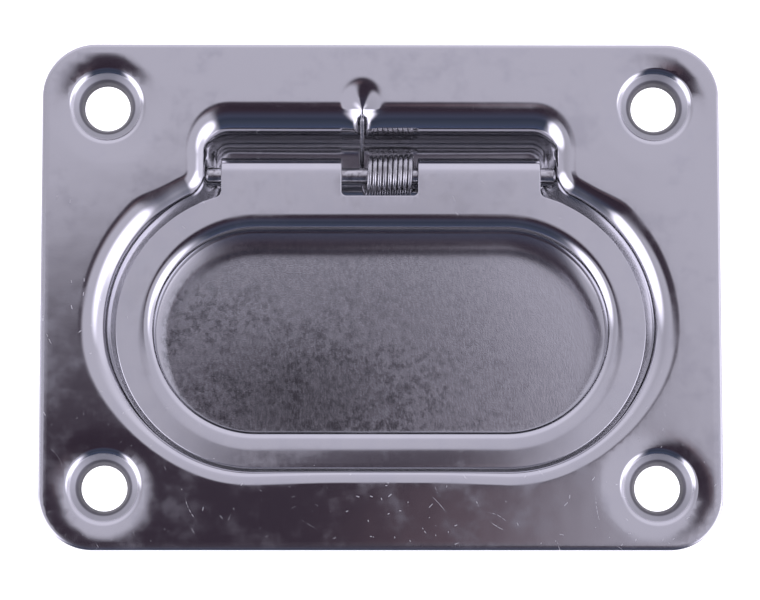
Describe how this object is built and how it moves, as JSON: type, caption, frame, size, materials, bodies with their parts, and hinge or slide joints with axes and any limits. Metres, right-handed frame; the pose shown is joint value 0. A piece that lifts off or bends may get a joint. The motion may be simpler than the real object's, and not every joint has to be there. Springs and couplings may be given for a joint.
{
  "type": "flush lift handle",
  "caption": "Spring-loaded flush lift handle: a pressed ring grip hinged in a dished rectangular plate with a finger recess.",
  "frame": {"origin": "centre of the plate on the mounting plane, the underside of the flange", "axes": "+Z out of the front face, +X along the plate's length and the hinge pin, +Y across the plate to the hinge side"},
  "size_m": [0.076, 0.057, 0.012],
  "materials": {
    "plate_steel": "polished stainless steel, fine handling scratches",
    "handle_steel": "polished stainless steel",
    "pin_steel": "drawn stainless steel, dull",
    "spring_wire": "bright drawn spring wire"
  },
  "bodies": {
    "base": {"base_plate": "plate_steel", "hinge_pin": "pin_steel", "torsion_spring": "spring_wire"},
    "handle": {"lift_handle": "handle_steel"}
  },
  "joints": [
    {"name": "handle_hinge", "type": "hinge", "parent": "base", "child": "handle", "pos_m": [0, 0.0139, -0.00205], "axis": [-1, 0, 0], "range_deg": [0, 105], "stiffness_Nm_per_rad": 0.0058, "springref_deg": -85.94, "deforming": ["torsion_spring"]}
  ]
}
